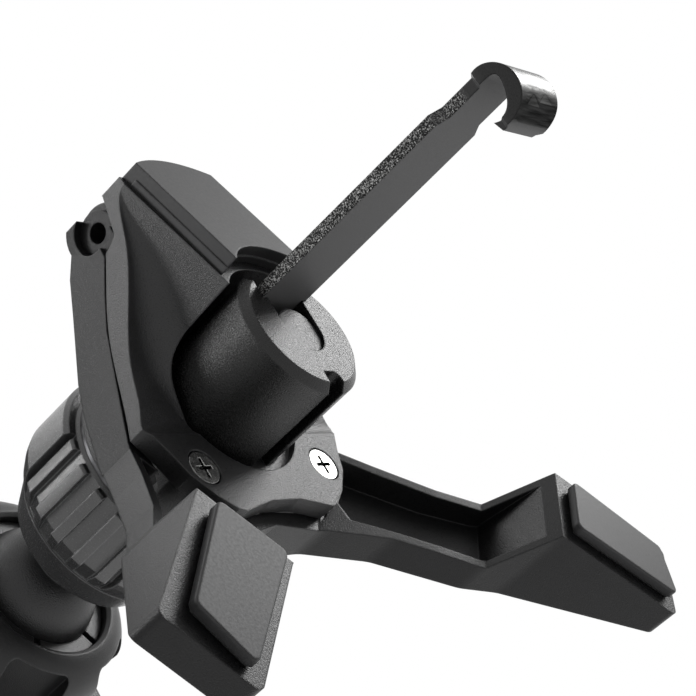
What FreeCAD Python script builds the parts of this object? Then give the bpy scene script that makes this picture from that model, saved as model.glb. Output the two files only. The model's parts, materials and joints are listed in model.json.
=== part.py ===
import FreeCAD, Part
import math
import os

V = FreeCAD.Vector
os.makedirs("parts", exist_ok=True)

# Units are mm. Origin: middle of the barrel's front face. +Y to the vent, +Z up, +X to the driver's right.

# Named clearances
run_gap = 0.05
press_gap = 0.02
seam_gap = 0.3
slide_gap = 0.2

# Barrel, the sliding core of the clip
barrel_r = 9.0
barrel_len = 24.0
cap_chamfer = 1.0
slot_half = 3.3
slot_depth = 4.75
key_left = -1.6
key_right = 1.2
key_depth = 2.7
key_corner = 1.1

# Ball stud, one turned steel piece
stud_head_r = slot_half - run_gap
stud_head_back = 0.4
stud_head_len = 2.5
stud_neck_r = 1.8
stud_r = 3.0
ball_r = 8.5
ball_at = 54.5
ball_neck_r = 4.4

# Hook, bent from flat steel
hook_t = 1.6
hook_low = 4.4
hook_half = 4.1
hook_jog_at = 29.5
hook_jog_len = 1.5
hook_neck_half = 3.1
hook_neck_end = 35.7
curl_right = 3.65
curl_left = 4.0
curl_reach = 4.5
curl_drop = 5.9
curl_t = 1.5

# Clip body, front moulding
lean = 0.26
front_y = 0.9
body_top = 28.0
block_half = 7.5
block_flare = 0.9
scoop_r = 4.5
block_low = -5.0
bore_r = 10.28
band_slope = 0.325
plate_front = 13.8
plate_t = 2.6
ring_t = 1.5
screw_x = 11.4
screw_z = -9.6
screw_head_r = 2.2
screw_head_t = 1.3
screw_r = 1.0
screw_len = 8.5
counterbore_r = 2.4

# Top pad
pad_half = 7.05
pad_t = 2.75
pad_base_t = 1.1
pad_step = 0.2
pad_top = 29.5
pad_low_side = 8.8
pad_low_mid = 12.0

# Rear hub and the knob that it holds
nose_r = 10.1
nose_wall_r = barrel_r + run_gap
hub_wall = 1.3
ring_r = 10.9
ring_depth = 0.4
clip_ring_t = 0.8
hub_rear = 26.2
washer_t = 0.6
knob_r = 14.0
knob_core_r = 12.5
knob_rib_r = 13.4
knob_end = 38.6
knob_end_r = 11.9
knob_seam = 0.25
knob_rear = 43.4
knob_rear_r = 9.7
nut_r = 6.0
nut_len = 8.5
nut_rear = 42.0
travel = 8.0
lobe_deg = 42.0
lobe_first_deg = 45.0
rib_deg = 16.0
rib_w = 1.5

# Legs
pivot_y = -13.0
pivot_z = 24.7
pivot_r = 2.85
pivot_bore_r = 1.3
knuckle_r = 4.2
knuckle_out = 8.7
knuckle_open = 2.65
knuckle_flat = 2.7
knuckle_seat = 3.2
pin_recess = 1.1
arm_t = 2.2
leg_wall = 1.3
leg_dir_deg = -41.1
arch_top = -14.2
arch_relief_x = 16.4
arch_relief_front = -13.6
arch_relief_rear = -16.2
foot_y = 0.4
foot_t = 1.4
foot_end_t = 4.1
foot_corner = 1.0
foot_pad_t = 1.6
foot_pad_step = 0.5
foot_base_t = 0.45
foot_pad_corner = 0.9
foot_pad_edge = 0.25
foot_plug_r = 1.4

# Charger head, sizes in its own frame: origin at the ball, +Y to the clip
head_tilt_deg = 0.0
head_half_w = 33.0
head_low = -42.0
head_high = 62.0
head_corner = 13.0
head_back = 24.5
rear_depth = 6.5
front_depth = 6.2
shell_t = 1.8
socket_wall_r = 10.3
socket_rim = 1.3
liner_t = 0.8
liner_deg = 52.0
lip_deg = 77.0
nut_out_r = 15.1
nut_lip = 2.6
nut_in_gap = 0.1
nut_back = 9.3
nut_back_r = 13.2
nut_grips = 6
nut_grip_w = 9.0
nut_grip_deep = 12.2
pedestal_r = 13.4
pedestal_foot_r = 24.0
socket_slot_w = 1.0

# Clamp drive
drive_z = 20.0
gear_module = 0.5
gear_teeth = 16
gear_t = 3.0
backlash = 0.16
arm_travel = 14.0
stem_w = 6.0
stem_t = 3.0
stem_back = 16.0
stem_lift = 0.6
jaw_t = 3.5
jaw_low = 9.0
jaw_high = 31.0
jaw_reach = 11.0
jaw_lip = 2.0
grip_t = 1.2
motor_r = 7.0
shaft_r = 1.0

# Coil, board and inlet
coil_z = -12.0
coil_r = 20.0
coil_in_r = 9.0
coil_t = 1.2
ferrite_t = 0.6
ferrite_r = 22.0
board_w = 45.0
board_low = -38.0
board_high = 11.0
board_t = 1.2
inlet_w = 9.0
inlet_t = 3.2
inlet_len = 7.3
inlet_wall = 0.35
inlet_floor = 2.0

# Bottom foot, buttons, lens and screws of the head
foot_travel = 16.0
foot_stem_x = 19.0
foot_stem_w = 8.0
foot_stem_t = 1.8
foot_stem_up = 22.0
foot_ledge_t = 3.0
foot_ledge_reach = 10.0
foot_ledge_lip = 2.5
ledge_pad_t = 1.0
button_z = -6.0
button_len = 14.0
button_w = 3.2
button_out = 1.0
button_travel = 0.7
button_flange = 0.7
button_in = 1.2
button_brim = 0.5
face_pad_t = 0.8
face_pad_w = 52.0
face_pad_len = 78.0
face_pad_corner = 9.0
lens_r = 1.6
lens_z = -37.5
case_screw_x = 26.5
case_screw_low = -34.0
case_screw_high = 54.0
case_screw_r = 1.1
case_screw_head_r = 2.1
case_screw_head_t = 1.4
case_screw_len = 9.0
case_boss_r = 2.9


# Building helpers
def line_wire(points):
    return Part.makePolygon([V(*p) for p in points] + [V(*points[0])])


def prism_y(outline, y_from, y_to):
    face = Part.Face(line_wire([(x, y_from, z) for x, z in outline]))
    return face.extrude(V(0, y_to - y_from, 0))


def prism_x(outline, x_from, x_to):
    face = Part.Face(line_wire([(x_from, y, z) for y, z in outline]))
    return face.extrude(V(x_to - x_from, 0, 0))


def prism_z(outline, z_from, z_to):
    face = Part.Face(line_wire([(x, y, z_from) for x, y in outline]))
    return face.extrude(V(0, 0, z_to - z_from))


def face_prism(edges, way):
    return Part.Face(Part.Wire(edges)).extrude(way)


def rod_y(r, y_from, y_to, x=0.0, z=0.0):
    low = min(y_from, y_to)
    return Part.makeCylinder(r, abs(y_to - y_from), V(x, low, z), V(0, 1, 0))


def rod_x(r, x_from, x_to, y=0.0, z=0.0):
    low = min(x_from, x_to)
    return Part.makeCylinder(r, abs(x_to - x_from), V(low, y, z), V(1, 0, 0))


def turned(profile, degrees=360.0):
    face = Part.Face(line_wire([(r, y, 0) for r, y in profile]))
    return face.revolve(V(0, 0, 0), V(0, 1, 0), degrees)


def block(x0, x1, y0, y1, z0, z1):
    return Part.makeBox(x1 - x0, y1 - y0, z1 - z0, V(x0, y0, z0))


def rounded(x0, x1, z0, z1, r, y0, y1):
    body = block(x0, x1, y0, y1, z0, z1)
    sides = [e for e in body.Edges if abs(e.tangentAt(e.FirstParameter).y) > 0.9]
    return body.makeFillet(r, sides)


def mirrored(shape):
    return shape.mirror(V(0, 0, 0), V(1, 0, 0))


def curve(points):
    spline = Part.BSplineCurve()
    spline.interpolate([V(*p) for p in points])
    return spline.toShape()


def save(name, shape):
    shape = shape.removeSplitter()
    shape.exportStep("parts/%s.step" % name)


# Values that several pieces share
barrel_back = -barrel_len
stud_head_y = -stud_head_back
fork_y = -(stud_head_back + stud_head_len + run_gap)
fork_back = fork_y - hook_t
hook_high = hook_low + hook_t
plate_rear = -(plate_front + plate_t)
ring_front = plate_rear + ring_t
hub_r = ring_r + slide_gap + hub_wall
nose_front = plate_rear - 0.5
clip_ring_front = nose_front - 0.5
clip_ring_back = clip_ring_front - clip_ring_t
hub_step = clip_ring_back - 0.3
knob_face = -(hub_rear + washer_t + 2 * run_gap)
nose_cavity = -(barrel_len + travel + 1.0)


def front_at(z):
    return front_y - lean * z


def band_half(z):
    return block_half + band_slope * (body_top - z)


# Side view of the band, front edge from the top down, then rear edge
band_front = [(-6.4, 28), (-7.8, 23.8), (-8.4, 19.3), (-10.6, 12.1), (-12.2, 8.0), (-13.3, 3.0), (-13.8, -2.0)]
band_rear = [(-16.4, -4.0), (-15.7, 4.0), (-14.9, 11.0), (-13.6, 15.5), (-12.0, 20.0), (-10.3, 28.0)]
plate_edge = [(17.6, -4.6), (15.9, -7.6), (14.6, -10.6), (11.9, -13.6), (9.5, -15.4), (8.3, -15.8), (5.9, -15.2)]


def band_outline(grow):
    half = [(block_half, body_top), (band_half(-4.0), -4.0)] + plate_edge + [(2.6, -14.5)]
    left = [(-x, z) for x, z in reversed(half)]
    wire = line_wire([(x, 0, z) for x, z in half + left])
    if grow > 0:
        wire = wire.makeOffset2D(grow)
    return wire


def band_prism(grow, y_from, y_to):
    face = Part.Face(band_outline(grow))
    face.translate(V(0, y_from, 0))
    return face.extrude(V(0, y_to - y_from, 0))


def wall_at(y):
    return block_half + block_flare * (front_y - y) / 12.0


def side_view():
    low = plate_edge[-2][1] - 2.0
    ahead = front_at(block_low)
    points = [band_rear[-1], (front_at(body_top), body_top), (ahead, block_low), (-plate_front, block_low)]
    points += [(-plate_front, low), (plate_rear, low), band_rear[0]]
    lines = [Part.makeLine(V(0, *points[i]), V(0, *points[i + 1])) for i in range(len(points) - 1)]
    return lines + [curve([(0, y, z) for y, z in band_rear])]


def scoop_section(y, z):
    room = 0.9 * (band_half(z) - wall_at(y))
    r = max(0.3, min(scoop_r, room, 0.3 + 0.75 * (z - block_low)))
    x = wall_at(y + r)
    start = V(wall_at(6.0), 6.0, z)
    high = V(x, y + r, z)
    middle = V(x + r * (1 - math.sqrt(0.5)), y + r * (1 - math.sqrt(0.5)), z)
    low = V(x + r, y, z)
    far = V(40.0, y, z)
    out = V(40.0, 6.0, z)
    edges = [Part.makeLine(start, high), Part.Arc(high, middle, low).toShape(), Part.makeLine(low, far)]
    edges += [Part.makeLine(far, out), Part.makeLine(out, start)]
    return Part.Wire(edges)


def side_scoop():
    levels = [(band_front[0][0] + 0.35, body_top + 1.0)] + band_front
    levels += [(-plate_front, block_low), (-plate_front, plate_edge[-2][1] - 3.0)]
    return Part.makeLoft([scoop_section(y, z) for y, z in levels], True, False)


def key_edge(bar):
    along = [e for e in bar.Edges if abs(e.tangentAt(e.FirstParameter).y) > 0.9]
    top = bar.BoundBox.ZMax - 0.01
    return [e for e in along if e.BoundBox.Center.x < 0 and e.BoundBox.Center.z > top]


def clip_body():
    wide = band_half(-6.0)
    solid = face_prism(side_view(), V(wide, 0, 0))
    solid = solid.common(band_prism(0, -30, 10)).cut(side_scoop())
    solid = solid.fuse(mirrored(solid))
    notch_from = block_half - 1.3
    seat = pivot_y + knuckle_seat
    for x0, x1 in ((notch_from, wide), (-wide, -notch_from)):
        ring = rod_x(knuckle_r + seam_gap, x0, x1, pivot_y, pivot_z)
        solid = solid.cut(ring.common(block(-wide, wide, -40, seat, 0, 40)))
    lug = rod_x(knuckle_r - 0.3, -notch_from, notch_from, pivot_y, pivot_z)
    neck = [(pivot_y, pivot_z - 3.8), (-8.5, pivot_z - 4.5), (-8.5, body_top), (pivot_y + 2.0, body_top)]
    solid = solid.fuse(lug).fuse(prism_x(neck, -notch_from, notch_from))
    solid = solid.cut(rod_y(bore_r, ring_front, 10))
    solid = solid.cut(rod_y(nose_wall_r, plate_rear - 10, ring_front))
    rib_top = -barrel_r + key_depth - run_gap
    rib = block(key_left + run_gap, key_right - run_gap, plate_rear, ring_front, -bore_r, rib_top)
    rib = rib.makeFillet(key_corner, key_edge(rib))
    solid = solid.fuse(rib)
    solid = solid.cut(rod_x(pivot_r + press_gap, -20, 20, pivot_y, pivot_z))
    for side in (-1, 1):
        x = side * screw_x
        solid = solid.cut(rod_y(counterbore_r, -plate_front - screw_head_t - 0.1, 0, x, screw_z))
        solid = solid.cut(rod_y(screw_r + 0.3, plate_rear - 1, 0, x, screw_z))
    return solid


def top_pad():
    face_y = pad_t

    def layer(half, thick, top, low_side, low_mid):
        left = V(-half, 20, low_side)
        right = V(half, 20, low_side)
        low = Part.Arc(left, V(0, 20, low_mid), right).toShape()
        corner = 1.6
        high_r = V(half, 20, top - corner)
        high_l = V(-half, 20, top - corner)
        crown = Part.Arc(high_r, V(0, 20, top), high_l).toShape()
        sides = [Part.makeLine(right, high_r), Part.makeLine(high_l, left)]
        column = face_prism([low, sides[0], crown, sides[1]], V(0, -60, 0))
        slab = [(front_at(0), 0), (front_at(0) + thick, 0), (front_at(40) + thick, 40), (front_at(40), 40)]
        return column.common(prism_x(slab, -half - 1, half + 1))

    base = layer(pad_half + pad_step, pad_base_t, body_top - 0.3, pad_low_side - pad_step, pad_low_mid - pad_step)
    return base.fuse(layer(pad_half, face_y, pad_top, pad_low_side, pad_low_mid))


def cross_screw(head_r, head_t, shank_r, length, socket=0.8):
    body = rod_y(head_r, -head_t, 0).fuse(rod_y(shank_r, -head_t - length, -head_t))
    arm = head_r * 0.62
    slot = block(-arm, arm, -socket, 1, -0.25, 0.25).fuse(block(-0.25, 0.25, -socket, 1, -arm, arm))
    return body.cut(slot)


def body_screws():
    one = cross_screw(screw_head_r, screw_head_t, screw_r, screw_len)
    one.translate(V(0, -plate_front - 0.1, screw_z))
    left = one.copy()
    one.translate(V(screw_x, 0, 0))
    left.translate(V(-screw_x, 0, 0))
    return Part.makeCompound([one, left])


def rear_hub():
    ear_rear = hub_step - 0.6
    ears = [(-14.0, -9.0), (-12.2, -12.2), (12.2, -12.2), (14.0, -9.0), (12.0, -4.0), (-12.0, -4.0)]
    solid = prism_y(ears, ear_rear, plate_rear)
    solid = solid.fuse(rod_y(hub_r, -hub_rear, plate_rear))
    boss_rear = plate_rear - screw_len
    for side in (-1, 1):
        solid = solid.fuse(rod_y(screw_r + 1.6, boss_rear, plate_rear, side * screw_x, screw_z))
    solid = solid.cut(rod_y(ring_r + slide_gap, hub_step, 0))
    solid = solid.cut(rod_y(nose_r + 2 * run_gap, -hub_rear - 5, 0))
    for side in (-1, 1):
        solid = solid.cut(rod_y(screw_r + press_gap, boss_rear + 0.4, 0, side * screw_x, screw_z))
    return solid


def thrust_washer():
    back = -hub_rear - run_gap - washer_t
    ring = rod_y(hub_r - 0.2, back, back + washer_t)
    return ring.cut(rod_y(nose_r + 2 * run_gap, back - 1, 0))


def pivot_pin():
    half = knuckle_out - pin_recess
    return rod_x(pivot_r, -half, half, pivot_y, pivot_z).cut(rod_x(pivot_bore_r, -20, 20, pivot_y, pivot_z))


def barrel():
    solid = turned([(0, 0), (barrel_r - cap_chamfer, 0), (barrel_r, -cap_chamfer), (barrel_r, barrel_back), (0, barrel_back)])
    solid = solid.cut(rod_y(slot_half, -slot_depth, 1))
    solid = solid.cut(block(-slot_half, slot_half, -slot_depth, 1, 0, 20))
    wide = hook_half + run_gap
    solid = solid.cut(block(-wide, wide, -slot_depth, 1, hook_low - run_gap, 20))
    solid = solid.cut(rod_y(stud_r + press_gap, barrel_back - 1, 0))
    way = block(key_left, key_right, barrel_back - 1, 1, -20, -barrel_r + key_depth)
    return solid.cut(way.makeFillet(key_corner, key_edge(way)))


def ball_stud():
    centre = -ball_at
    reach = math.sqrt(ball_r ** 2 - ball_neck_r ** 2)
    neck_end = centre + reach
    head_end = stud_head_y - stud_head_len
    shank = fork_back - run_gap
    profile = [(0, stud_head_y), (stud_head_r, stud_head_y), (stud_head_r, head_end), (stud_neck_r, head_end)]
    profile += [(stud_neck_r, shank), (stud_r, shank), (stud_r, neck_end + 2.6), (ball_neck_r, neck_end + 0.6)]
    profile += [(ball_neck_r, centre), (0, centre)]
    return turned(profile).fuse(Part.makeSphere(ball_r, V(0, centre, 0)))


def hook():
    lift = hook_high - curl_t
    tip_y = hook_neck_end - 0.5
    back = hook_neck_end + curl_reach
    floor = hook_high - curl_drop - 1.4
    rise = 0.15
    mid = (hook_high + floor) / 2
    outer = [V(0, hook_neck_end, hook_high), V(0, hook_neck_end + 1.7, hook_high + rise)]
    outer += [V(0, back - 1.2, hook_high - 0.8), V(0, back, mid + 0.4), V(0, back - 0.9, floor + 1.0)]
    outer += [V(0, back - 2.8, floor), V(0, tip_y, floor + 0.1)]
    inner = [V(0, tip_y - 0.35, floor + 1.5), V(0, back - 3.2, floor + 1.3), V(0, back - 1.9, mid - 0.3)]
    inner += [V(0, back - 1.9, mid + 1.7), V(0, hook_neck_end + 1.2, lift - 0.1), V(0, hook_neck_end, hook_low)]
    out_line = Part.BSplineCurve()
    out_line.interpolate(outer)
    in_line = Part.BSplineCurve()
    in_line.interpolate(inner)
    edges = [out_line.toShape(), Part.makeLine(outer[-1], inner[0]), in_line.toShape()]
    edges.append(Part.makeLine(inner[-1], outer[0]))
    curl = face_prism(edges, V(2 * hook_half, 0, 0))
    curl.translate(V(-hook_half, 0, 0))
    blade = block(-hook_half, hook_half, fork_back, hook_neck_end, hook_low, hook_high)
    jog_end = hook_jog_at + hook_jog_len
    plan = [(hook_half, fork_back), (hook_half, hook_jog_at), (hook_neck_half, jog_end), (hook_neck_half, hook_neck_end)]
    left = [(-x, y) for x, y in plan] + [(-curl_left, hook_neck_end + 0.5), (-curl_left, back + 2)]
    plan += [(curl_right, hook_neck_end + 0.5), (curl_right, back + 2)] + list(reversed(left))
    solid = blade.fuse(curl).common(prism_z(plan, -20, 20))
    tine = slot_half - run_gap
    fork = rod_y(tine, fork_back, fork_y).fuse(block(-tine, tine, fork_back, fork_y, 0, hook_low + 0.5))
    gap = stud_neck_r + run_gap
    fork = fork.cut(rod_y(gap, -20, 20)).cut(block(-gap, gap, -20, 20, -20, 0))
    return solid.fuse(fork)


def knob_sector(solid, middle_deg, span_deg):
    far = 40.0
    a = math.radians(middle_deg - span_deg / 2)
    b = math.radians(middle_deg + span_deg / 2)
    wedge = prism_y([(0, 0), (far * math.cos(a), far * math.sin(a)), (far * math.cos(b), far * math.sin(b))], -80, 0)
    return solid.common(wedge)


def nut_outline(grow):
    r = nut_r + grow
    return [(r * math.cos(math.radians(30 * i)), r * math.sin(math.radians(30 * i))) for i in range(12)]


def clamp_knob():
    face = knob_face
    wide = face - 0.5
    taper = -(knob_end - 2.3)
    seam = -knob_end
    core = [(nose_wall_r, nose_front), (nose_r, nose_front), (nose_r, face), (knob_core_r - 0.4, face)]
    core += [(knob_core_r, wide), (knob_core_r, taper), (knob_end_r - knob_seam, seam)]
    core += [(knob_end_r - knob_seam, seam - knob_seam), (knob_end_r, seam - knob_seam)]
    core += [(knob_rear_r + 0.2, -knob_rear + 0.4), (knob_rear_r - 0.3, -knob_rear)]
    core += [(0, -knob_rear), (0, nose_cavity), (nose_wall_r, nose_cavity)]
    solid = turned(core)
    lobe = [(0, wide), (knob_r - 0.6, wide), (knob_r, wide - 0.6), (knob_r, taper + 1.3), (knob_r - 0.35, taper + 0.2)]
    lobe += [(knob_r - 1.1, taper - 1.2), (knob_end_r + 0.1, seam), (0, seam)]
    lobe_body = turned(lobe)
    rib = [(0, wide), (knob_rib_r - 0.3, wide), (knob_rib_r, wide - 0.3), (knob_rib_r, taper), (knob_end_r, seam)]
    rib_body = turned(rib + [(0, -knob_end)])
    rib_span = math.degrees(rib_w / knob_rib_r)
    for step in range(3):
        middle = lobe_first_deg + 120 * step
        solid = solid.fuse(knob_sector(lobe_body, middle, lobe_deg))
        for k in (-2, -1, 0, 1, 2):
            solid = solid.fuse(knob_sector(rib_body, middle + 60 + k * rib_deg, rib_span))
    solid = solid.cut(rod_y(nose_wall_r, nose_cavity, 0))
    solid = solid.cut(rod_y(stud_r + 0.4, -80, 0))
    solid = solid.cut(prism_y(nut_outline(press_gap), -nut_rear - 0.02, -nut_rear + nut_len + 5))
    groove = rod_y(nose_r + 1, clip_ring_back - 0.05, clip_ring_front + 0.05)
    groove = groove.cut(rod_y(nose_r - ring_depth, -80, 0))
    return solid.cut(groove)


def knob_nut():
    solid = prism_y(nut_outline(0), -nut_rear, -nut_rear + nut_len)
    return solid.cut(rod_y(stud_r + run_gap, -80, 0))


def retaining_ring():
    ring = rod_y(ring_r, clip_ring_back, clip_ring_front)
    ring = ring.cut(rod_y(nose_r - ring_depth + press_gap, -80, 0))
    return ring.cut(block(-3, 3, -80, 0, -20, 0))


# Leg outlines, right side: upper wall from the body to the tip, then lower wall back to the middle
leg_upper = [(18.1, -4.7), (22.0, -9.9), (27.2, -16.1), (31.8, -20.0), (35.4, -21.9), (50.3, -34.9)]
leg_lower = [(42.4, -44.4), (27.5, -31.4), (23.4, -29.1), (15.5, -21.5), (8.0, -17.4), (0.0, -16.0)]
leg_inside = [(0.0, arch_top), (9.5, -14.9), (13.6, -12.8), (15.5, -9.0), (15.95, -4.7)]
leg_front = [(0.0, -16.8), (16.7, -16.8), (23.1, -14.2), (31.1, -11.1), (37.1, -9.0), (41.2, foot_y)]
arm_rear = [(-16.9, 27.0), (-18.6, 21.8), (-19.8, 16.5), (-21.8, 8.2), (-22.3, 3.5), (-22.0, -4.7)]
leg_u = (math.cos(math.radians(leg_dir_deg)), math.sin(math.radians(leg_dir_deg)))
leg_tip_u = leg_upper[-1][0] * leg_u[0] + leg_upper[-1][1] * leg_u[1]
foot_pad_shape = [(42.7, 5.0), (58.3, 4.2), (60.2, -3.7), (42.6, -4.0)]
leg_rear_u = 16.2
leg_rear_y = -22.0


def rear_at(u):
    slope = (leg_rear_y + foot_end_t - foot_y) / (leg_rear_u - leg_tip_u)
    return leg_rear_y + slope * (u - leg_rear_u)


def along_leg(profile):
    across = V(leg_u[1], 0, -leg_u[0])
    start = across * -80
    points = [V(u * leg_u[0], y, u * leg_u[1]) + start for u, y in profile]
    face = Part.Face(Part.makePolygon(points + [points[0]]))
    return face.extrude(across * 160)


def soften(body, spots, r):
    upright = [e for e in body.Edges if abs(e.tangentAt(e.FirstParameter).y) > 0.99]
    middles = [e.BoundBox.Center for e in upright]
    chosen = [e for e, c in zip(upright, middles) if min(math.hypot(c.x - x, c.z - z) for x, z in spots) < 0.01]
    return body.makeFillet(r, chosen)


def one_leg():
    plan = leg_upper + leg_lower + leg_inside
    solid = prism_y(plan, -40, 5)
    solid = soften(solid, leg_upper[3:5], 3.0)
    solid = soften(solid, leg_lower[1:5], 5.0)
    solid = soften(solid, [leg_upper[5], leg_lower[0]], foot_corner)
    arch_rear = -19.6
    tip = leg_tip_u + 2.0
    side = leg_front + [(tip, foot_y), (tip, rear_at(tip)), (leg_rear_u, leg_rear_y), (13.0, -21.6)]
    side += [(9.0, arch_rear), (-5.0, arch_rear)]
    side[0] = (-5.0, leg_front[0][1])
    solid = solid.common(along_leg(side))
    mouth = 17.0
    last = leg_tip_u - leg_wall
    web_foot = leg_front[-1][0] - 2.6
    web_top = leg_front[-1][0] - 0.5
    pocket = [(mouth, rear_at(mouth) + leg_wall), (web_foot, rear_at(web_foot) + leg_wall), (web_top, foot_y)]
    pocket += [(web_top, 10), (mouth, 10)]
    core = [(web_foot + leg_wall, -40), (last, -40), (last, foot_y - foot_t), (web_top + leg_wall, foot_y - foot_t)]
    core.append((web_foot + leg_wall, rear_at(web_foot) + 2 * leg_wall))
    channel = [(13.0, -6.0), leg_upper[0], leg_upper[1], leg_upper[2], leg_upper[3], leg_upper[4], leg_upper[5]]
    channel += [leg_lower[0], leg_lower[1], leg_lower[2], leg_lower[3], (11.0, -17.5)]
    inset = line_wire([(x, -40, z) for x, z in channel]).makeOffset2D(-leg_wall)
    room = Part.Face(inset).extrude(V(0, 60, 0))
    solid = solid.cut(room.common(along_leg(pocket))).cut(room.common(along_leg(core)))
    solid = solid.cut(band_prism(seam_gap, plate_rear - seam_gap, 0))
    return solid


def one_arm():
    front = [(y - seam_gap, z) for y, z in band_rear[:-1]]
    front[0] = (plate_rear - seam_gap - 0.1, band_rear[0][1])
    low = -4.75
    outline = [(leg_rear_y, low)] + list(reversed(arm_rear[1:-1])) + [(-16.9, 25.5), (pivot_y, pivot_z)]
    outline += list(reversed(front)) + [(front[0][0], low)]
    solid = prism_x(outline, 0, 30)
    high = 27.0
    flat = [(band_half(high) - arm_t, high), (band_half(high), high), (band_half(low), low), (band_half(low) - arm_t, low)]
    solid = solid.common(prism_y(flat, -30, 0))
    inner = block_half - 1.3 + 0.15
    ring = rod_x(knuckle_r, inner, knuckle_out, pivot_y, pivot_z)
    ring = ring.common(block(0, 20, -40, pivot_y + knuckle_open, 0, pivot_z + knuckle_flat))
    ring = ring.cut(block(0, 20, pivot_y + 0.8, 0, pivot_z, 40))
    solid = solid.fuse(ring)
    solid = solid.cut(block(0, inner, -30, 0, pivot_z - knuckle_r - 1, 40))
    return solid.cut(rod_x(pivot_r + run_gap, 0, 20, pivot_y, pivot_z))


def foot_spot(u, v):
    return (u * leg_u[0] - v * leg_u[1], u * leg_u[1] + v * leg_u[0])


def foot_middle():
    return foot_spot((foot_pad_shape[0][0] + foot_pad_shape[1][0]) / 2, 0.4)


# The arch slopes away to the rear, clear of the knob when the legs swing back
def arch_relief():
    front = leg_front[0][1] + 0.1
    high = leg_inside[3][1]
    slope = [(front, arch_relief_front), (leg_rear_y - 0.5, arch_relief_rear), (leg_rear_y - 0.5, high), (front, high)]
    return prism_x(slope, -1, arch_relief_x)


def support_legs():
    right = one_leg().fuse(one_arm())
    x, z = foot_middle()
    right = right.cut(rod_y(foot_plug_r + press_gap, -3, 5, x, z))
    right = right.cut(arch_relief())
    return right.fuse(mirrored(right))


def foot_pad():
    outline = line_wire([(x, 0, z) for x, z in [foot_spot(u, v) for u, v in foot_pad_shape]])
    y1 = foot_y + foot_base_t
    top = Part.Face(outline).extrude(V(0, foot_pad_t - foot_base_t, 0))
    top.translate(V(0, y1, 0))
    top = top.makeFillet(foot_pad_corner, [e for e in top.Edges if abs(e.tangentAt(e.FirstParameter).y) > 0.99])
    rim = [e for e in top.Edges if e.BoundBox.YMin > foot_y + foot_pad_t - 0.01]
    top = top.makeFillet(foot_pad_edge, rim)
    base = Part.Face(outline.makeOffset2D(-foot_pad_step)).extrude(V(0, foot_base_t + 0.1, 0))
    base.translate(V(0, foot_y, 0))
    x, z = foot_middle()
    return top.fuse(base).fuse(rod_y(foot_plug_r, foot_y - foot_t - 0.2, foot_y + 0.1, x, z))


# The charger head, in its own frame
back_face = -head_back
split = -(head_back + rear_depth)
front_face = split - front_depth
inner_back = back_face - shell_t
inner_front = front_face + shell_t
socket_r = ball_r + run_gap
liner_in = ball_r + run_gap
liner_out = liner_in + liner_t
liner_seat = liner_out + run_gap
pitch_r = gear_module * gear_teeth / 2
gear_back = inner_back - 0.5
gear_front = gear_back - gear_t
stem_y0 = gear_front
button_mid = inner_back - 0.15 - button_w / 2 - button_brim


def place(shape):
    shape = shape.copy()
    shape.rotate(V(0, 0, 0), V(1, 0, 0), head_tilt_deg)
    shape.translate(V(0, -ball_at, 0))
    return shape


def cone_cut(degrees, r):
    far = r * 2
    half = math.radians(degrees)
    if degrees < 90:
        points = [(0, 0), (far * math.sin(half), -far * math.cos(half)), (0, -far * math.cos(half))]
    return turned(points)


def ball_liner():
    shell = Part.makeSphere(liner_out).cut(Part.makeSphere(liner_in))
    return shell.common(cone_cut(liner_deg, 20.0))


def shell_prism(inset, y0, y1):
    half = head_half_w - inset
    return rounded(-half, half, head_low + inset, head_high - inset, head_corner - inset, y0, y1)


def arm_window(side):
    z = drive_z + side * (pitch_r + gear_module + stem_w / 2)
    gap = slide_gap
    x0, x1 = (0, 60) if side > 0 else (-60, 0)
    return block(x0, x1, stem_y0 - gap, stem_y0 + stem_t + gap, z - stem_w / 2 - gap - 2, z + stem_w / 2 + gap)


def case_screw_spots():
    return [(x, z) for x in (-case_screw_x, case_screw_x) for z in (case_screw_low, case_screw_high)]


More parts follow.
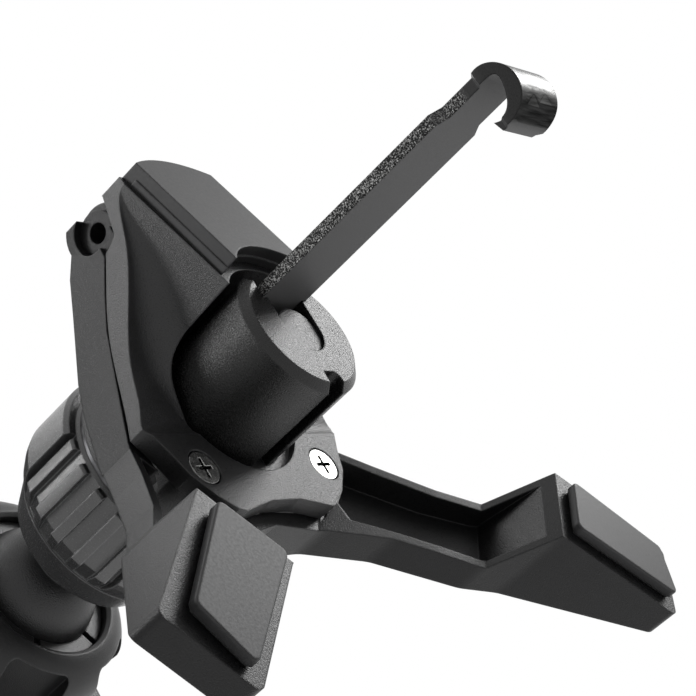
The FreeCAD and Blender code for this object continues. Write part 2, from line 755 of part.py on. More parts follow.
def rear_cover():
    pan = shell_prism(0, split, back_face)
    rim = [e for e in pan.Edges if e.BoundBox.YMin > back_face - 0.01]
    pan = pan.makeFillet(1.6, rim)
    pan = pan.cut(shell_prism(shell_t, split - 1, inner_back))
    neck_root = -(nut_back + seam_gap)
    rise = pedestal_foot_r - pedestal_r
    fall = neck_root - 1.5 - back_face
    profile = [(0, socket_rim), (socket_wall_r, socket_rim), (socket_wall_r, neck_root), (pedestal_r, neck_root)]
    profile += [(pedestal_r, neck_root - 1.5), (pedestal_r + rise * 0.05, back_face + fall * 0.62)]
    profile += [(pedestal_r + rise * 0.2, back_face + fall * 0.31), (pedestal_r + rise * 0.5, back_face + fall * 0.1)]
    profile += [(pedestal_foot_r, back_face), (pedestal_foot_r, inner_back), (0, inner_back)]
    solid = pan.fuse(turned(profile))
    lip = math.radians(lip_deg)
    lip_y = -liner_seat * math.cos(lip)
    seat = Part.makeSphere(liner_seat).common(rod_y(20, -30, lip_y))
    solid = solid.cut(seat).cut(Part.makeSphere(socket_r))
    mouth = math.sqrt(socket_r ** 2 - socket_rim ** 2)
    solid = solid.cut(rod_y(mouth, 0, 20))
    for step in range(3):
        slot = block(-20, 20, -5.5, 5, -socket_slot_w / 2, socket_slot_w / 2)
        slot.rotate(V(0, 0, 0), V(0, 1, 0), 60 * step)
        solid = solid.cut(slot.common(rod_y(socket_wall_r + 0.5, -6, 5)))
    solid = solid.cut(arm_window(1)).cut(arm_window(-1))
    for x, z in case_screw_spots():
        solid = solid.fuse(rod_y(case_boss_r, split, back_face - 0.5, x, z))
        solid = solid.cut(rod_y(case_screw_head_r + 0.2, back_face - case_screw_head_t - 0.1, 1, x, z))
        solid = solid.cut(rod_y(case_screw_r + 0.2, split - 1, 1, x, z))
    for side in (-1, 1):
        solid = solid.cut(button_window(side))
        x = side * foot_stem_x
        half = foot_stem_w / 2 + slide_gap
        low = inner_back - 0.3 - foot_stem_t - slide_gap
        solid = solid.cut(block(x - half, x + half, low, inner_back - 0.3 + slide_gap, head_low - 1, head_low + shell_t + 1))
    half = inlet_w / 2 + 0.1
    y1 = board_back + inlet_t + 0.1
    solid = solid.cut(block(-half, half, board_back - 0.1, y1, head_low - 1, head_low + shell_t + 1))
    return solid


ferrite_back = inner_front + coil_t + ferrite_t
board_back = ferrite_back + 0.1 + board_t


def button_window(side):
    half = button_len / 2 + 0.1
    tall = button_w / 2 + 0.1
    mid = button_mid
    x0, x1 = (head_half_w - shell_t - 1, head_half_w + 1)
    if side < 0:
        x0, x1 = -x1, -x0
    return block(x0, x1, mid - tall, mid + tall, button_z - half, button_z + half)


def button(side):
    mid = button_mid
    x_in = head_half_w - shell_t - 0.05
    cap = rounded_x(x_in, head_half_w + button_out, mid, button_z, button_w, button_len)
    tall = button_w / 2 + button_brim
    half = button_len / 2 + button_flange
    flange = block(x_in - button_in, x_in, mid - tall, mid + tall, button_z - half, button_z + half)
    solid = cap.fuse(flange)
    return solid if side > 0 else mirrored(solid)


def rounded_x(x0, x1, y, z, w, length):
    body = block(x0, x1, y - w / 2, y + w / 2, z - length / 2, z + length / 2)
    sides = [e for e in body.Edges if abs(e.tangentAt(e.FirstParameter).x) > 0.9]
    return body.makeFillet(w * 0.42, sides)


def front_cover():
    pan = shell_prism(0, front_face, split - 0.05)
    rim = [e for e in pan.Edges if e.BoundBox.YMax < front_face + 0.01]
    pan = pan.makeFillet(2.2, rim)
    pan = pan.cut(shell_prism(shell_t, inner_front, split + 1))
    for x, z in case_screw_spots():
        pan = pan.fuse(rod_y(case_boss_r, front_face + 0.5, split - 0.05, x, z))
        pan = pan.cut(rod_y(case_screw_r + press_gap, back_face - case_screw_head_t - case_screw_len - 0.5, split, x, z))
    pan = pan.cut(rod_y(lens_r + press_gap, front_face - 1, split, 0, lens_z))
    half = inlet_w / 2 + 0.1
    pan = pan.cut(block(-half, half, board_back - 0.1, split + 1, head_low - 1, head_low + shell_t + 1))
    return pan


def face_pad():
    middle = (head_high + head_low) / 2 + 4
    half = face_pad_w / 2
    z0 = middle - face_pad_len / 2
    return rounded(-half, half, z0, z0 + face_pad_len, face_pad_corner, front_face - face_pad_t, front_face)


def charging_coil():
    y0 = inner_front
    ring = rod_y(coil_r, y0, y0 + coil_t, 0, coil_z)
    return ring.cut(rod_y(coil_in_r, y0 - 1, y0 + coil_t + 1, 0, coil_z))


def ferrite_shield():
    y0 = inner_front + coil_t
    return rod_y(ferrite_r, y0, y0 + ferrite_t, 0, coil_z)


def circuit_board():
    half = board_w / 2
    return block(-half, half, board_back - board_t, board_back, board_low, board_high)


def usb_inlet():
    half = inlet_w / 2
    z0 = head_low + 0.2
    shell = rounded_z(half, board_back, board_back + inlet_t, z0, z0 + inlet_len)
    room = rounded_z(half - inlet_wall, board_back + inlet_wall, board_back + inlet_t - inlet_wall, z0 - 1, z0 + inlet_len - inlet_floor)
    tongue_half = half * 0.72
    mid = board_back + inlet_t / 2
    tongue = block(-tongue_half, tongue_half, mid - 0.35, mid + 0.35, z0 + 0.8, z0 + inlet_len - inlet_floor)
    return shell.cut(room).fuse(tongue)


def rounded_z(half, y0, y1, z0, z1):
    body = block(-half, half, y0, y1, z0, z1)
    sides = [e for e in body.Edges if abs(e.tangentAt(e.FirstParameter).z) > 0.9]
    return body.makeFillet((y1 - y0) * 0.45, sides)


def drive_motor():
    y0 = inner_front
    can = rod_y(motor_r, y0, gear_front - 0.3, 0, drive_z)
    return can.fuse(rod_y(shaft_r, gear_front - 0.4, inner_back - 0.1, 0, drive_z))


def drive_pinion():
    tip = pitch_r + gear_module * 0.9
    root = pitch_r - gear_module * 1.15
    step = 360.0 / gear_teeth
    solid = rod_y(root, gear_front, gear_back, 0, 0)
    half_pitch = (math.pi * gear_module / 2 - backlash) / 2
    for i in range(gear_teeth):
        half_root = half_pitch + gear_module * 0.36
        half_tip = half_pitch - gear_module * 0.36
        tooth = prism_y([(root - 0.3, -half_root), (tip, -half_tip), (tip, half_tip), (root - 0.3, half_root)], gear_front, gear_back)
        tooth.rotate(V(0, 0, 0), V(0, 1, 0), step * i + step / 2 + 90)
        solid = solid.fuse(tooth)
    solid = solid.cut(rod_y(shaft_r + run_gap, gear_front - 1, gear_back + 1))
    solid.translate(V(0, 0, drive_z))
    return solid


def rack_stem(reach):
    pitch = math.pi * gear_module
    root_z = pitch_r + gear_module * 1.15
    top_z = root_z + stem_w - 0.5
    tip_z = pitch_r - gear_module * 0.9
    half = (pitch / 2 - backlash) / 2
    half_root = half + gear_module * 0.42
    half_tip = half - gear_module * 0.33
    count = int(stem_back / pitch)
    solid = block(-stem_back, reach, stem_y0, stem_y0 + stem_t, root_z, top_z)
    for i in range(-count, 2):
        x = i * pitch
        tooth = prism_y([(x - half_root, root_z + 0.1), (x - half_tip, tip_z), (x + half_tip, tip_z), (x + half_root, root_z + 0.1)], stem_y0, stem_y0 + stem_t)
        solid = solid.fuse(tooth)
    solid.translate(V(0, 0, drive_z))
    return solid


def clamp_arm(side):
    x_in = head_half_w + 0.4
    tip = front_face - jaw_reach
    back = stem_y0 + stem_t + 1.0
    mid = drive_z
    low = jaw_low - mid
    high = jaw_high - mid
    outline = [(x_in, back), (x_in + jaw_t * 0.7, back), (x_in + jaw_t, back - 2.0), (x_in + jaw_t, tip + 1.0), (x_in + jaw_t - 1.0, tip)]
    outline += [(x_in - jaw_lip + 0.6, tip), (x_in - jaw_lip, tip + 0.8), (x_in, tip + 2.6)]
    jaw = prism_z(outline, mid + low, mid + high)
    solid = jaw.fuse(rack_stem(x_in + 1.0))
    if side > 0:
        return solid
    solid = solid.copy()
    solid.rotate(V(0, 0, drive_z), V(0, 1, 0), 180)
    return solid


def clamp_grip(side):
    x_in = head_half_w + 0.4
    tip = front_face - jaw_reach
    y0 = tip + 2.9
    y1 = front_face - 0.9
    solid = block(x_in - grip_t, x_in, y0, y1, jaw_low + 1.5, jaw_high - 1.5)
    edges = [e for e in solid.Edges if abs(e.tangentAt(e.FirstParameter).z) > 0.9 and e.BoundBox.XMax < x_in - grip_t + 0.1]
    solid = solid.makeFillet(0.5, edges)
    if side > 0:
        return solid
    solid.rotate(V(0, 0, drive_z), V(0, 1, 0), 180)
    return solid


def bottom_foot():
    y1 = inner_back - 0.3
    y0 = y1 - foot_stem_t
    top = head_low - seam_gap
    ledge_low = top - foot_ledge_t
    tip = front_face - foot_ledge_reach
    half = foot_stem_x + foot_stem_w / 2
    solid = block(-half, half, y0, y1, ledge_low, top)
    for side in (-1, 1):
        x = side * foot_stem_x
        w = foot_stem_w / 2
        solid = solid.fuse(block(x - w, x + w, y0, y1, ledge_low, head_low + foot_stem_up))
        side_view = [(y1, ledge_low), (y1, top), (tip + 2.0, top), (tip + 1.2, top + foot_ledge_lip), (tip, top + foot_ledge_lip), (tip, ledge_low + 1.0), (tip + 1.0, ledge_low)]
        solid = solid.fuse(prism_x(side_view, x - w, x + w))
    return solid


def ledge_pads():
    top = head_low - seam_gap
    tip = front_face - foot_ledge_reach
    pads = []
    for side in (-1, 1):
        x = side * foot_stem_x
        w = foot_stem_w / 2 - 0.6
        pads.append(block(x - w, x + w, tip + 2.2, front_face - 0.6, top, top + ledge_pad_t))
    return Part.makeCompound(pads)


def lock_nut():
    back = -nut_back
    inner = socket_wall_r + nut_in_gap
    lip = V(inner + 0.6, nut_lip, 0)
    crest = V(nut_out_r, -1.6, 0)
    round_front = Part.Arc(lip, V(nut_out_r - 1.35, 0.75 * nut_lip - 0.9, 0), crest).toShape()
    waist = V(nut_back_r, back + 1.4, 0)
    round_back = Part.Arc(crest, V(nut_out_r - 0.5, (crest.y + waist.y) / 2, 0), waist).toShape()
    rest = [waist, V(nut_back_r, back, 0), V(inner, back, 0), V(inner, nut_lip - 0.3, 0), lip]
    edges = [round_front, round_back] + [Part.makeLine(rest[i], rest[i + 1]) for i in range(4)]
    solid = Part.Face(Part.Wire(edges)).revolve(V(0, 0, 0), V(0, 1, 0), 360)
    half = nut_grip_w / 2
    grip = rounded(-half, half, back - 4.0, 1.4, 1.2, nut_grip_deep, 30)
    grip.rotate(V(0, 0, 0), V(1, 0, 0), -90)
    for step in range(nut_grips):
        one = grip.copy()
        one.rotate(V(0, 0, 0), V(0, 1, 0), 360.0 / nut_grips * step - 27.3)
        solid = solid.cut(one)
    return solid


def status_lens():
    return rod_y(lens_r, front_face - 0.1, inner_front + 0.6, 0, lens_z)


def case_screws():
    screws = []
    for x, z in case_screw_spots():
        one = cross_screw(case_screw_head_r, case_screw_head_t, case_screw_r, case_screw_len)
        one.translate(V(x, back_face - 0.1, z))
        screws.append(one)
    return Part.makeCompound(screws)


# Clip
save("clip_body", clip_body())
save("top_pad", top_pad())
save("body_screws", body_screws())
save("rear_hub", rear_hub())
save("thrust_washer", thrust_washer())
save("pivot_pin", pivot_pin())

# Spindle
save("barrel", barrel())
save("hook", hook())
save("ball_stud", ball_stud())

# Knob
save("clamp_knob", clamp_knob())
save("knob_nut", knob_nut())
save("retaining_ring", retaining_ring())

# Legs
save("support_legs", support_legs())
save("right_foot_pad", foot_pad())
save("left_foot_pad", mirrored(foot_pad()))

# Head
save("ball_liner", place(ball_liner()))
save("lock_nut", place(lock_nut()))
save("rear_cover", place(rear_cover()))
save("front_cover", place(front_cover()))
save("face_pad", place(face_pad()))
save("charging_coil", place(charging_coil()))
save("ferrite_shield", place(ferrite_shield()))
save("circuit_board", place(circuit_board()))
save("usb_inlet", place(usb_inlet()))
save("drive_motor", place(drive_motor()))
save("drive_pinion", place(drive_pinion()))
save("right_clamp_arm", place(clamp_arm(1)))
save("left_clamp_arm", place(clamp_arm(-1)))
save("right_grip", place(clamp_grip(1)))
save("left_grip", place(clamp_grip(-1)))
save("bottom_foot", place(bottom_foot()))
save("ledge_pads", place(ledge_pads()))
save("right_button", place(button(1)))
save("left_button", place(button(-1)))
save("status_lens", place(status_lens()))
save("case_screws", place(case_screws()))
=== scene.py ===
import bpy
import json
from mathutils import Matrix, Vector

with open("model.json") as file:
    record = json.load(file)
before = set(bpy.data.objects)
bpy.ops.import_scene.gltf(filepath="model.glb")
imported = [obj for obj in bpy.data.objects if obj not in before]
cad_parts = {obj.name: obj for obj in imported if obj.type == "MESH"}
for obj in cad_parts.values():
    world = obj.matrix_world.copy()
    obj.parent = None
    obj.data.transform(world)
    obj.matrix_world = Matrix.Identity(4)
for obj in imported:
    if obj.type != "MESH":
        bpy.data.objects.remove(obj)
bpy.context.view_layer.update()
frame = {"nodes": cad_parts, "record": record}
nodes = frame["nodes"]

# Grain of the finishes: how many pits to the metre, and how deep they are in metres
grain_fine = 6400.0
grain_middle = 5200.0
grain_rubber = 3000.0
grain_coarse = 1200.0
pits_torn = 0.0001
pits_deep = 0.00008
pits_firm = 0.00007
pits_usual = 0.00004
pits_shallow = 0.00002
pits_faint = 0.00001
pits_smooth = 0.000006

# Broad cloudy patches of tint and of the painted highlight on the edges, and marks on bare metal, in cells
# to the metre
clouds = 160.0
lens_clouds = 300.0
floor_clouds = 3.0
drag_marks = 260.0
metal_marks = 900.0
marks_depth = 0.000008

# Radius to which edges are shaded round, and how wide a recess gets painted shade, in metres
moulded_edge = 0.0003
metal_edge = 0.00015
recess_width = 0.0006

# Places along the hook, in metres from the barrel's face: where its shank ends and its rubbed curl begins
shank_end = (0.0335, 0.0345)
curl_start = (0.0360, 0.0372)

# Camera at the photograph's viewing angle: its place, its right, its back and its lens in millimetres
camera_place = Vector((0.17921, 0.09926, -0.08892))
camera_right = Vector((-0.5694, 0.6565, -0.4947))
camera_back = Vector((0.8211, 0.4250, -0.3810))
camera_lens = 99.26
camera_sensor = 36.0
camera_shift = (-0.0234, -0.0228)
camera_near = 0.01

# The point that the lamps face, and the world's strength as a light and as a background
lamp_aim = Vector((0, -0.01, 0))
world_light = 0.15
world_white = 1.0

# Floor: half its side and its height in metres, and the white added where it is seen or mirrored
floor_half = 1.2
floor_height = -0.30
floor_white = 0.6

# Sockets of the colour mixing node, which has others of the same names for plain numbers
mix_factor = 0
mix_first = 6
mix_second = 7
mix_result = 2


def grey(value):
    return (value, value, value)


# Node helpers
def new_material(name):
    mat = bpy.data.materials.new(name)
    mat.use_nodes = True
    tree = mat.node_tree
    shader = tree.nodes.get("Principled BSDF")
    return mat, tree, shader


def set_input(node, name, value):
    node.inputs[name].default_value = value


# A colour from a source: low up to the first stop, and high from the second one
def ramp(tree, source, low, high, low_at=0.3, high_at=0.7):
    node = tree.nodes.new("ShaderNodeValToRGB")
    node.color_ramp.elements[0].position = low_at
    node.color_ramp.elements[0].color = (*low, 1)
    node.color_ramp.elements[1].position = high_at
    node.color_ramp.elements[1].color = (*high, 1)
    tree.links.new(source, node.inputs["Fac"])
    return node.outputs["Color"]


# A number from a source, held at low and high outside the source's range
def remap(tree, source, low, high, from_low=0.3, from_high=0.7):
    node = tree.nodes.new("ShaderNodeMapRange")
    set_input(node, "From Min", from_low)
    set_input(node, "From Max", from_high)
    set_input(node, "To Min", low)
    set_input(node, "To Max", high)
    tree.links.new(source, node.inputs["Value"])
    return node.outputs["Result"]


# Nought on the start's side of the range and one on the end's side
def band(tree, source, start, end):
    return remap(tree, source, 0.0, 1.0, start, end)


def maths(tree, operation, first, second=None, value=None):
    node = tree.nodes.new("ShaderNodeMath")
    node.operation = operation
    tree.links.new(first, node.inputs[0])
    if second is not None:
        tree.links.new(second, node.inputs[1])
    if value is not None:
        node.inputs[1].default_value = value
    return node.outputs[0]


def blend(tree, factor, first, second):
    node = tree.nodes.new("ShaderNodeMix")
    node.data_type = "RGBA"
    tree.links.new(factor, node.inputs[mix_factor])
    tree.links.new(first, node.inputs[mix_first])
    tree.links.new(second, node.inputs[mix_second])
    return node.outputs[mix_result]


def split(tree, vector):
    node = tree.nodes.new("ShaderNodeSeparateXYZ")
    tree.links.new(vector, node.inputs["Vector"])
    return node.outputs


def place_coords(tree, stretch=(1, 1, 1)):
    coords = tree.nodes.new("ShaderNodeTexCoord")
    mapping = tree.nodes.new("ShaderNodeMapping")
    set_input(mapping, "Scale", stretch)
    tree.links.new(coords.outputs["Object"], mapping.inputs["Vector"])
    return mapping.outputs["Vector"]


def noise(tree, vector, scale, detail):
    node = tree.nodes.new("ShaderNodeTexNoise")
    set_input(node, "Scale", scale)
    set_input(node, "Detail", detail)
    set_input(node, "Roughness", 0.55)
    tree.links.new(vector, node.inputs["Vector"])
    return node.outputs["Fac"]


# Edges catch the light as slightly rounded ones do
def soft_edge(tree, radius):
    node = tree.nodes.new("ShaderNodeBevel")
    node.samples = 4
    set_input(node, "Radius", radius)
    return node.outputs["Normal"]


def bump(tree, height, depth, normal):
    node = tree.nodes.new("ShaderNodeBump")
    set_input(node, "Strength", 1.0)
    set_input(node, "Distance", depth)
    tree.links.new(height, node.inputs["Height"])
    tree.links.new(normal, node.inputs["Normal"])
    return node.outputs["Normal"]


# How far the rounded normal turns from the flat one: strong on edges only, and patchy; this places the
# painted highlight on the rims
def painted_edge_highlight_mask(tree, rounded, patches):
    geometry = tree.nodes.new("ShaderNodeNewGeometry")
    along = tree.nodes.new("ShaderNodeVectorMath")
    along.operation = "DOT_PRODUCT"
    tree.links.new(geometry.outputs["Normal"], along.inputs[0])
    tree.links.new(rounded, along.inputs[1])
    turned = band(tree, along.outputs["Value"], 0.99, 0.88)
    patchy = remap(tree, patches, 0.3, 1.0, 0.35, 0.65)
    return maths(tree, "MULTIPLY", turned, patchy)


# Moulded plastic or rubber: a fine grain, a cloudy tint, and a painted highlight of paler patchy rims
# along the edges
def moulding(name, low, high, rough, grain=grain_fine, depth=pits_usual, specular=0.3):
    mat, tree, shader = new_material(name)
    vector = place_coords(tree)
    speckle = noise(tree, vector, grain, 2.0)
    cloud = noise(tree, vector, clouds, 4.0)
    half_cloud = maths(tree, "MULTIPLY", cloud, value=0.5)
    half_speckle = maths(tree, "MULTIPLY", speckle, value=0.5)
    tint = ramp(tree, maths(tree, "ADD", half_cloud, half_speckle), low, high)
    # Painted highlight: the rims are coloured lighter than the tint, so they look lit under any lamp
    painted_rim_highlight = ramp(tree, speckle, [2 * v for v in high], [4 * v for v in high])
    rounded = soft_edge(tree, moulded_edge)
    color = blend(tree, painted_edge_highlight_mask(tree, rounded, cloud), tint, painted_rim_highlight)
    tree.links.new(color, shader.inputs["Base Color"])
    tree.links.new(remap(tree, speckle, *rough), shader.inputs["Roughness"])
    tree.links.new(bump(tree, speckle, depth, rounded), shader.inputs["Normal"])
    set_input(shader, "Specular IOR Level", specular)
    return mat


# Bare metal with fine marks, with painted shade in its recesses
def metal(name, low, high, rough, scale=metal_marks, depth=marks_depth):
    mat, tree, shader = new_material(name)
    marks = noise(tree, place_coords(tree), scale, 4.0)
    # Painted shade: the more closed in a recess is, the darker its colour
    hollow = tree.nodes.new("ShaderNodeAmbientOcclusion")
    set_input(hollow, "Distance", recess_width)
    recess_shade_mask = band(tree, hollow.outputs["AO"], 0.85, 0.45)
    painted_recess_shade = ramp(tree, marks, grey(0.01), grey(0.03))
    color = blend(tree, recess_shade_mask, ramp(tree, marks, low, high), painted_recess_shade)
    tree.links.new(color, shader.inputs["Base Color"])
    tree.links.new(remap(tree, marks, *rough), shader.inputs["Roughness"])
    tree.links.new(bump(tree, marks, depth, soft_edge(tree, metal_edge)), shader.inputs["Normal"])
    set_input(shader, "Metallic", 1.0)
    return mat


# Dark coated steel. The shank's sheared edges are rough and bright in spots, and the curl's side edges get
# painted shade.
# The outside of the curl is rubbed bare by the blades, with painted shade on the faces turned up and down.
def hook_finish():
    mat, tree, shader = new_material("hook_steel")
    coords = tree.nodes.new("ShaderNodeTexCoord")
    along = split(tree, coords.outputs["Object"])["Y"]
    geometry = tree.nodes.new("ShaderNodeNewGeometry")
    facing = split(tree, geometry.outputs["True Normal"])

    fine = noise(tree, coords.outputs["Object"], grain_middle, 4.0)
    coat = ramp(tree, fine, (0.085, 0.085, 0.086), (0.105, 0.105, 0.106))
    torn = ramp(tree, fine, grey(0.006), (0.32, 0.32, 0.315), 0.48, 0.70)
    # Painted shade for the curl's side edges
    painted_edge_shade = ramp(tree, fine, grey(0.008), grey(0.02))
    drag = noise(tree, place_coords(tree, stretch=(1, 9, 9)), drag_marks, 3.0)
    bare = ramp(tree, drag, grey(0.12), (0.34, 0.34, 0.335))
    # Painted shade: dark bands where the curl's outside turns up or down, standing in for dark reflections
    painted_band_shade = ramp(tree, drag, grey(0.01), grey(0.04))
    under = band(tree, facing["Z"], -0.15, -0.75)
    over = band(tree, facing["Z"], 0.35, 0.8)
    # The bare curl gets painted shade where it faces up and down
    bare = blend(tree, maths(tree, "MAXIMUM", under, over), bare, painted_band_shade)

    edge = band(tree, maths(tree, "ABSOLUTE", facing["X"]), 0.6, 0.9)
    on_curl = band(tree, along, *shank_end)
    on_shank = band(tree, along, *reversed(shank_end))
    shank_edge = maths(tree, "MULTIPLY", edge, on_shank)
    shaded_curl_edge = maths(tree, "MULTIPLY", edge, on_curl)
    outside = band(tree, facing["Y"], -0.15, 0.15)
    rubbed = maths(tree, "MULTIPLY", band(tree, along, *curl_start), outside)

    color = blend(tree, shank_edge, coat, torn)
    color = blend(tree, rubbed, color, bare)
    # The curl's side edges are painted dark as shade
    color = blend(tree, shaded_curl_edge, color, painted_edge_shade)
    tree.links.new(color, shader.inputs["Base Color"])
    bright = maths(tree, "MAXIMUM", rubbed, maths(tree, "MULTIPLY", shank_edge, value=0.7))
    tree.links.new(bright, shader.inputs["Metallic"])
    tree.links.new(remap(tree, bright, 0.5, 0.3, 0.0, 1.0), shader.inputs["Roughness"])
    ragged = maths(tree, "MULTIPLY", fine, shank_edge)
    tree.links.new(bump(tree, ragged, pits_torn, soft_edge(tree, moulded_edge)), shader.inputs["Normal"])
    set_input(shader, "Specular Tint", (0.45, 0.45, 0.45, 1))
    return mat


# Clear plastic over the status light
def lens_finish():
    mat, tree, shader = new_material("lens")
    cloud = noise(tree, place_coords(tree), lens_clouds, 3.0)
    tint = ramp(tree, cloud, (0.72, 0.78, 0.82), (0.85, 0.9, 0.93))
    tree.links.new(tint, shader.inputs["Base Color"])
    tree.links.new(remap(tree, cloud, 0.12, 0.2), shader.inputs["Roughness"])
    set_input(shader, "Transmission Weight", 0.5)
    return mat


# Mouldings of the clip and the charger, each from its darkest tint to its lightest
body_plastic = moulding(
    "body_plastic", low=(0.010, 0.010, 0.0105), high=(0.028, 0.028, 0.029), rough=(0.26, 0.40),
    depth=pits_deep, specular=0.4)
barrel_plastic = moulding(
    "barrel_plastic", low=grey(0.003), high=grey(0.011), rough=(0.22, 0.34),
    depth=pits_firm, specular=0.36)
leg_plastic = moulding(
    "leg_plastic", low=(0.009, 0.009, 0.0095), high=(0.018, 0.018, 0.0185), rough=(0.26, 0.36),
    specular=0.2)
knob_plastic = moulding(
    "knob_plastic", low=(0.035, 0.035, 0.0355), high=(0.070, 0.070, 0.071), rough=(0.18, 0.28),
    specular=0.8)
head_plastic = moulding(
    "head_plastic", low=(0.014, 0.014, 0.0145), high=(0.026, 0.026, 0.0265), rough=(0.28, 0.38))
pad_rubber = moulding(
    "pad_rubber", low=(0.040, 0.040, 0.041), high=(0.055, 0.055, 0.056), rough=(0.40, 0.50),
    grain=grain_rubber, depth=pits_smooth, specular=0.2)
face_rubber = moulding(
    "face_rubber", low=(0.030, 0.030, 0.031), high=(0.042, 0.042, 0.043), rough=(0.55, 0.68),
    grain=grain_rubber, depth=pits_smooth, specular=0.2)
pale_plastic = moulding(
    "pale_plastic", low=(0.62, 0.62, 0.58), high=(0.72, 0.72, 0.68), rough=(0.35, 0.45),
    grain=grain_coarse, depth=pits_smooth)

# The ball's black coat, the coil's shield and the board shine as mouldings do
ball_coat = moulding(
    "ball_steel", low=(0.010, 0.010, 0.0105), high=(0.026, 0.026, 0.027), rough=(0.26, 0.38),
    depth=pits_firm, specular=0.4)
ferrite = moulding(
    "ferrite", low=(0.03, 0.03, 0.032), high=(0.06, 0.06, 0.063), rough=(0.5, 0.7),
    grain=grain_middle, depth=pits_shallow)
board = moulding(
    "board", low=(0.01, 0.09, 0.035), high=(0.02, 0.15, 0.06), rough=(0.25, 0.35),
    grain=metal_marks, depth=pits_faint)

# Metals
nickel = metal("nickel", low=(0.42, 0.42, 0.41), high=(0.62, 0.62, 0.61), rough=(0.18, 0.32), scale=1400.0)
dark_steel = metal("dark_steel", low=(0.05, 0.05, 0.052), high=(0.10, 0.10, 0.103), rough=(0.3, 0.45))
brass = metal("brass", low=(0.62, 0.42, 0.15), high=(0.75, 0.55, 0.24), rough=(0.22, 0.36))
copper = metal(
    "copper", low=(0.65, 0.25, 0.12), high=(0.8, 0.38, 0.2), rough=(0.2, 0.34),
    scale=2000.0, depth=pits_usual)

finishes = {
    "body_plastic": body_plastic,
    "leg_plastic": leg_plastic,
    "knob_plastic": knob_plastic,
    "head_plastic": head_plastic,
    "pad_rubber": pad_rubber,
    "face_rubber": face_rubber,
    "gear_plastic": pale_plastic,
    "liner_plastic": pale_plastic,
    "hook_steel": hook_finish(),
    "ball_steel": ball_coat,
    "screw_steel": nickel,
    "dark_steel": dark_steel,
    "nut_brass": brass,
    "coil_copper": copper,
    "ferrite": ferrite,
    "board": board,
    "lens": lens_finish(),
}
for part in frame["record"]["subparts"]:
    thing = nodes[part["node"]]
    thing.data.materials.clear()
    thing.data.materials.append(finishes[part["material_slot"]])

# The barrel is darker than the clip body, and the pin is as dull as the legs
nodes["barrel"].data.materials[0] = barrel_plastic
nodes["pivot_pin"].data.materials[0] = leg_plastic


def make_camera():
    camera_data = bpy.data.cameras.new("camera")
    camera_data.lens = camera_lens
    camera_data.sensor_width = camera_sensor
    camera_data.shift_x, camera_data.shift_y = camera_shift
    camera_data.clip_start = camera_near
    camera_data.dof.use_dof = False
    camera = bpy.data.objects.new("camera", camera_data)
    back = camera_back.normalized()
    up = back.cross(camera_right.normalized()).normalized()
    right = up.cross(back).normalized()
    turn = Matrix((right, up, back)).transposed()
    camera.matrix_world = Matrix.Translation(camera_place) @ turn.to_4x4()
    bpy.context.scene.collection.objects.link(camera)
    bpy.context.scene.camera = camera


# A broad soft lamp, which stands off from the part in a given way and faces it
def panel(name, way, distance, width, height, power):
    lamp_data = bpy.data.lights.new(name, "AREA")
    lamp_data.shape = "RECTANGLE"
    lamp_data.size = width
    lamp_data.size_y = height
    lamp_data.energy = power
    lamp = bpy.data.objects.new(name, lamp_data)
    way = Vector(way).normalized()
    lamp.location = lamp_aim + way * distance
    lamp.rotation_euler = way.to_track_quat("Z", "Y").to_euler()
    bpy.context.scene.collection.objects.link(lamp)


# Rays that show the background: straight to the camera, through clear pieces or mirrored
def seen_rays(tree):
    path = tree.nodes.new("ShaderNodeLightPath")
    seen = maths(tree, "MAXIMUM", path.outputs["Is Camera Ray"], path.outputs["Is Transmission Ray"])
    return maths(tree, "MAXIMUM", seen, path.outputs["Is Glossy Ray"])


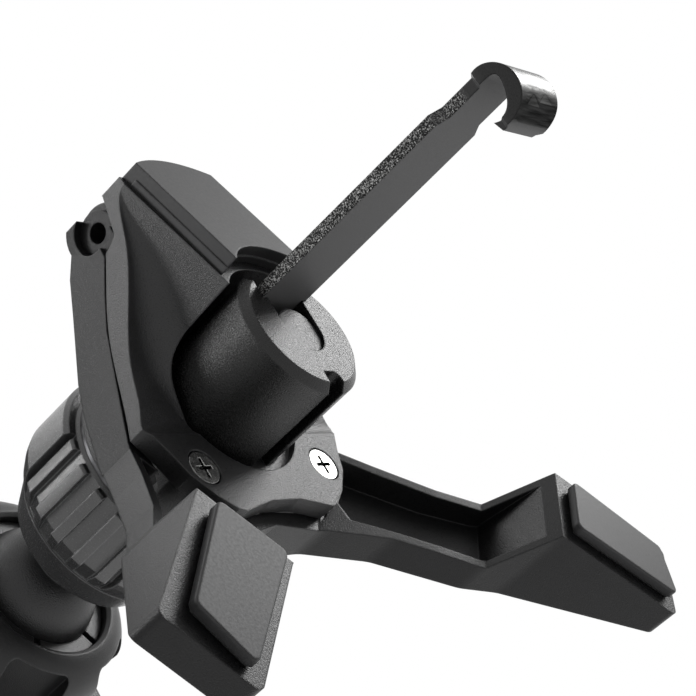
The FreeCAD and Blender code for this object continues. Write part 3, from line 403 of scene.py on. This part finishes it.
# A dim even light, and white where it is seen or mirrored
def make_world():
    world = bpy.data.worlds.new("world")
    bpy.context.scene.world = world
    world.use_nodes = True
    tree = world.node_tree
    tree.nodes.clear()
    out = tree.nodes.new("ShaderNodeOutputWorld")
    mix = tree.nodes.new("ShaderNodeMixShader")
    tree.links.new(seen_rays(tree), mix.inputs["Fac"])
    for socket, strength in ((1, world_light), (2, world_white)):
        sky = tree.nodes.new("ShaderNodeBackground")
        set_input(sky, "Color", (1, 1, 1, 1))
        set_input(sky, "Strength", strength)
        tree.links.new(sky.outputs["Background"], mix.inputs[socket])
    tree.links.new(mix.outputs["Shader"], out.inputs["Surface"])


# Pale and matt, so that it takes shadows, and lifted towards white where it is seen or mirrored
def floor_finish():
    mat, tree, shader = new_material("floor")
    cloud = noise(tree, place_coords(tree), floor_clouds, 3.0)
    tree.links.new(ramp(tree, cloud, grey(0.86), grey(0.89)), shader.inputs["Base Color"])
    set_input(shader, "Roughness", 0.8)
    set_input(shader, "Specular IOR Level", 0.2)
    pale = tree.nodes.new("ShaderNodeEmission")
    set_input(pale, "Color", (1, 1, 1, 1))
    lift = maths(tree, "MULTIPLY", seen_rays(tree), value=floor_white)
    tree.links.new(lift, pale.inputs["Strength"])
    both = tree.nodes.new("ShaderNodeAddShader")
    tree.links.new(shader.outputs["BSDF"], both.inputs[0])
    tree.links.new(pale.outputs["Emission"], both.inputs[1])
    tree.links.new(both.outputs["Shader"], tree.nodes["Material Output"].inputs["Surface"])
    return mat


def make_floor():
    sides = ((-1, -1), (1, -1), (1, 1), (-1, 1))
    corners = [(floor_half * x, floor_half * y, floor_height) for x, y in sides]
    mesh = bpy.data.meshes.new("floor")
    mesh.from_pydata(corners, [], [(0, 1, 2, 3)])
    mesh.materials.append(floor_finish())
    floor = bpy.data.objects.new("floor", mesh)
    bpy.context.scene.collection.objects.link(floor)


make_camera()
panel("key", way=(-0.82, 0.43, 0.38), distance=0.7, width=0.26, height=0.26, power=2.3)
panel("side", way=(0.62, -0.46, 0.64), distance=0.6, width=0.14, height=0.14, power=1.0)
panel("front", way=(-0.35, -0.90, 0.28), distance=0.8, width=0.40, height=0.40, power=3.0)
panel("top", way=(0.10, -0.30, 0.95), distance=0.7, width=0.30, height=0.26, power=0.9)
make_world()
make_floor()

scene = bpy.context.scene
scene.view_settings.view_transform = "Standard"
